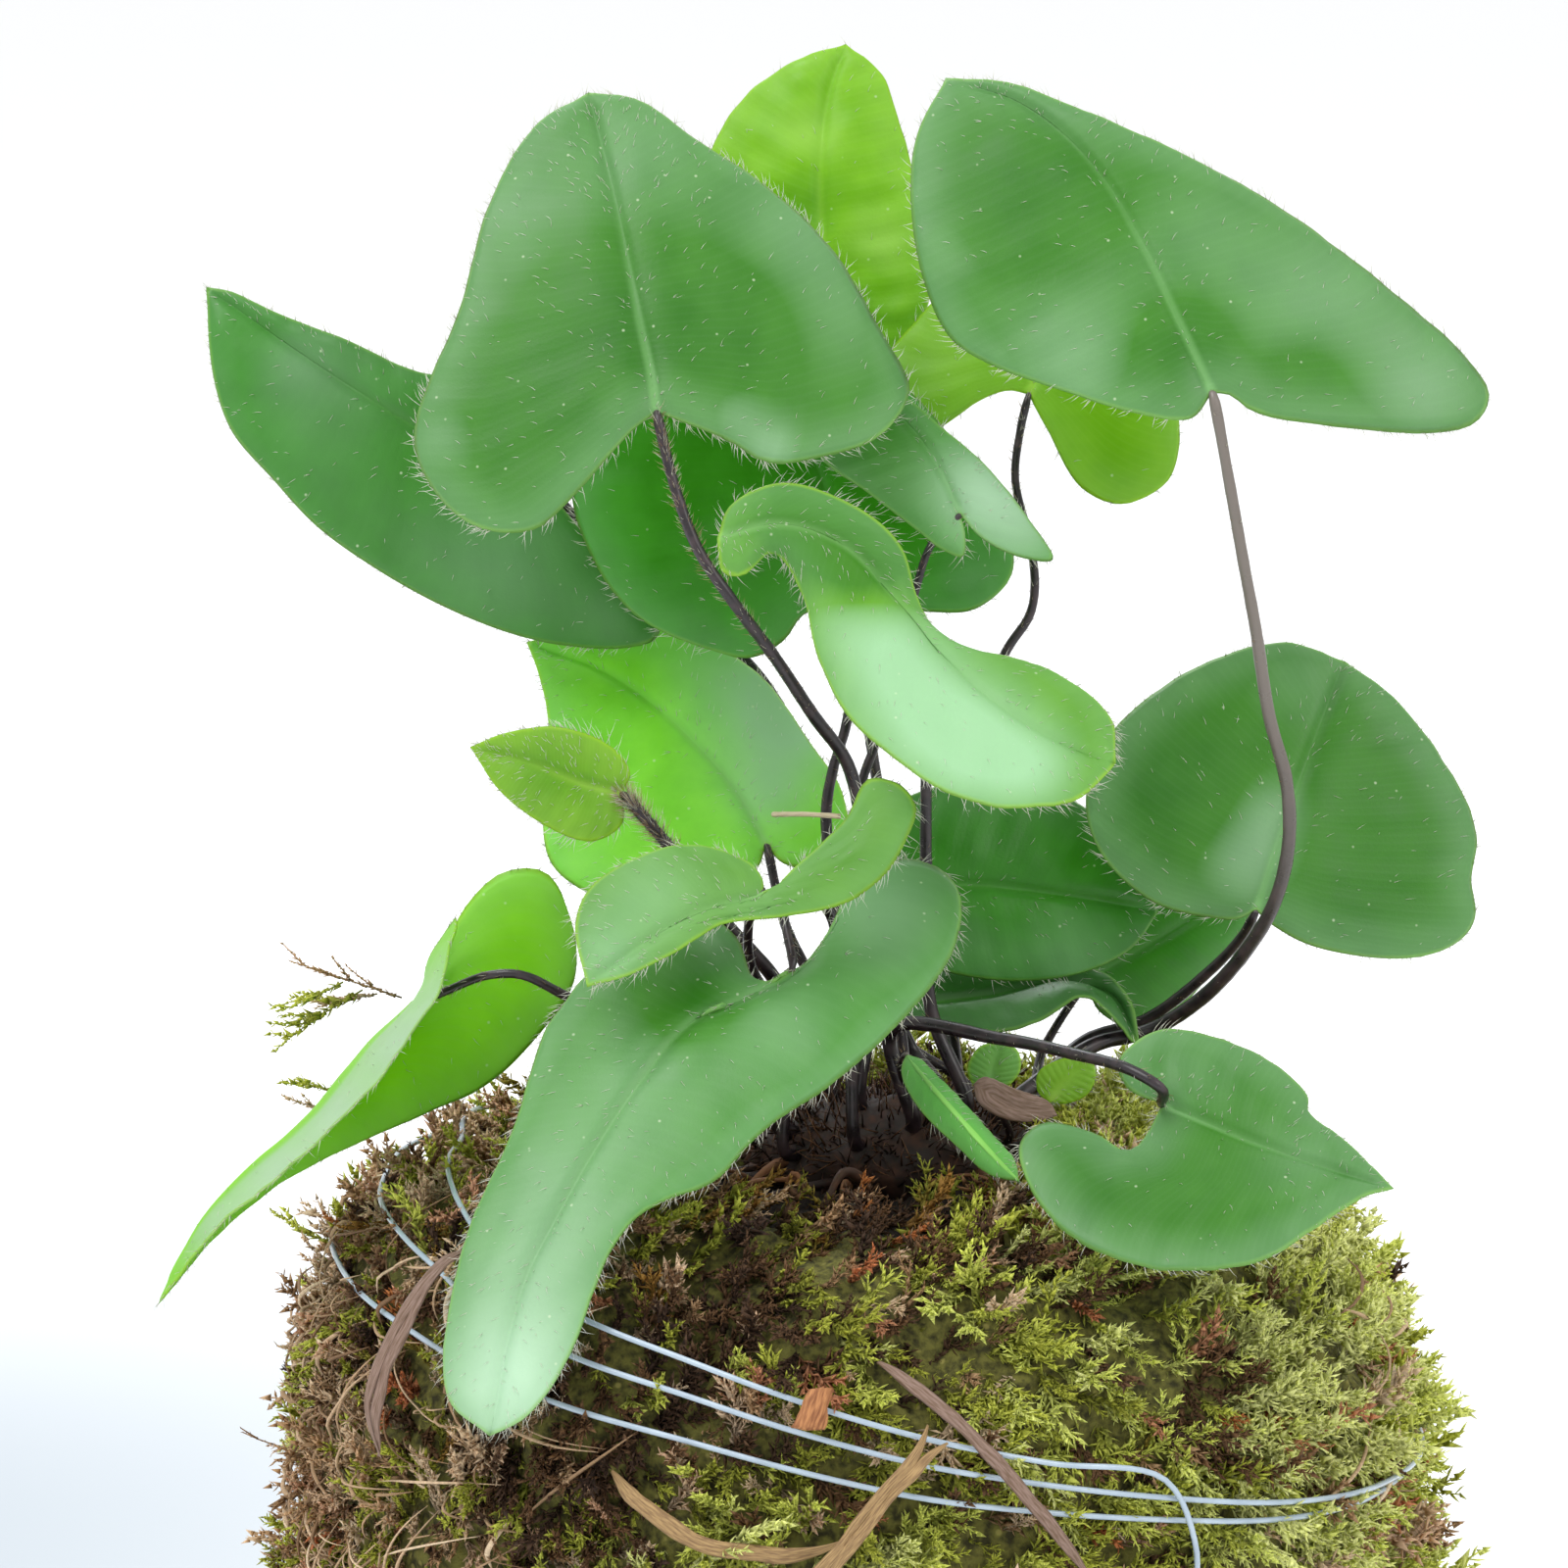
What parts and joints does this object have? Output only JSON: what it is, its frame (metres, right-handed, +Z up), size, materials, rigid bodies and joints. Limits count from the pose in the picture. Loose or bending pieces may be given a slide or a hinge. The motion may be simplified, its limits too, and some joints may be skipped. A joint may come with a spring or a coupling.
{
  "type": "heart-leaf fern on a moss ball",
  "caption": "Live heart-leaf fern with dark wiry stipes growing from a moss-wrapped root ball bound with thin clear line; it rests on the ball's flat underside.",
  "frame": {"origin": "centre of the flat that the moss ball rests on", "axes": "+Z up, the fronds facing -Y, +X to the right as seen from the front"},
  "size_m": [0.1354, 0.1221, 0.2076],
  "materials": {
    "leaf_mature": "waxy mid green upper side, lighter underside",
    "leaf_dark": "waxy dark green",
    "leaf_young": "soft lime green, lets light through",
    "stipe": "glossy purple-black with rusty hairs",
    "crown": "brown hair-like scales",
    "soil": "dark crumbly peat",
    "moss": "live and dried carpet moss",
    "line": "clear nylon line",
    "straw": "dry grass and bark"
  },
  "bodies": {
    "root": {"soil_ball": "soil", "moss_jacket": "moss", "crown": "crown", "blade_upper_left": "leaf_mature", "stipe_upper_left": "stipe", "blade_upper_right": "leaf_mature", "stipe_upper_right": "stipe", "blade_right": "leaf_mature", "stipe_right": "stipe", "blade_back_top": "leaf_young", "stipe_back_top": "stipe", "blade_back_right": "leaf_young", "stipe_back_right": "stipe", "blade_far_left": "leaf_dark", "stipe_far_left": "stipe", "blade_middle": "leaf_dark", "stipe_middle": "stipe", "blade_curled": "leaf_mature", "stipe_curled": "stipe", "blade_arrow": "leaf_mature", "stipe_arrow": "stipe", "blade_matte_left": "leaf_mature", "stipe_matte_left": "stipe", "blade_young_fuzzy": "leaf_young", "stipe_young_fuzzy": "stipe", "blade_twisted": "leaf_mature", "stipe_twisted": "stipe", "blade_front": "leaf_mature", "stipe_front": "stipe", "blade_left_folded": "leaf_young", "stipe_left_folded": "stipe", "blade_right_low": "leaf_dark", "stipe_right_low": "stipe", "blade_right_back": "leaf_dark", "stipe_right_back": "stipe", "blade_narrow_right": "leaf_dark", "stipe_narrow_right": "stipe", "blade_lower_right": "leaf_mature", "stipe_lower_right": "stipe", "blade_thin_folded": "leaf_young", "stipe_thin_folded": "stipe", "blade_young_pale": "leaf_young", "stipe_young_pale": "stipe", "blade_young_lime": "leaf_young", "stipe_young_lime": "stipe", "binding_line": "line", "straw_left": "straw", "straw_bent": "straw", "straw_middle": "straw", "straw_right": "straw", "bark_chip": "straw", "dry_stalk": "straw", "dry_scale": "straw"}
  },
  "joints": []
}
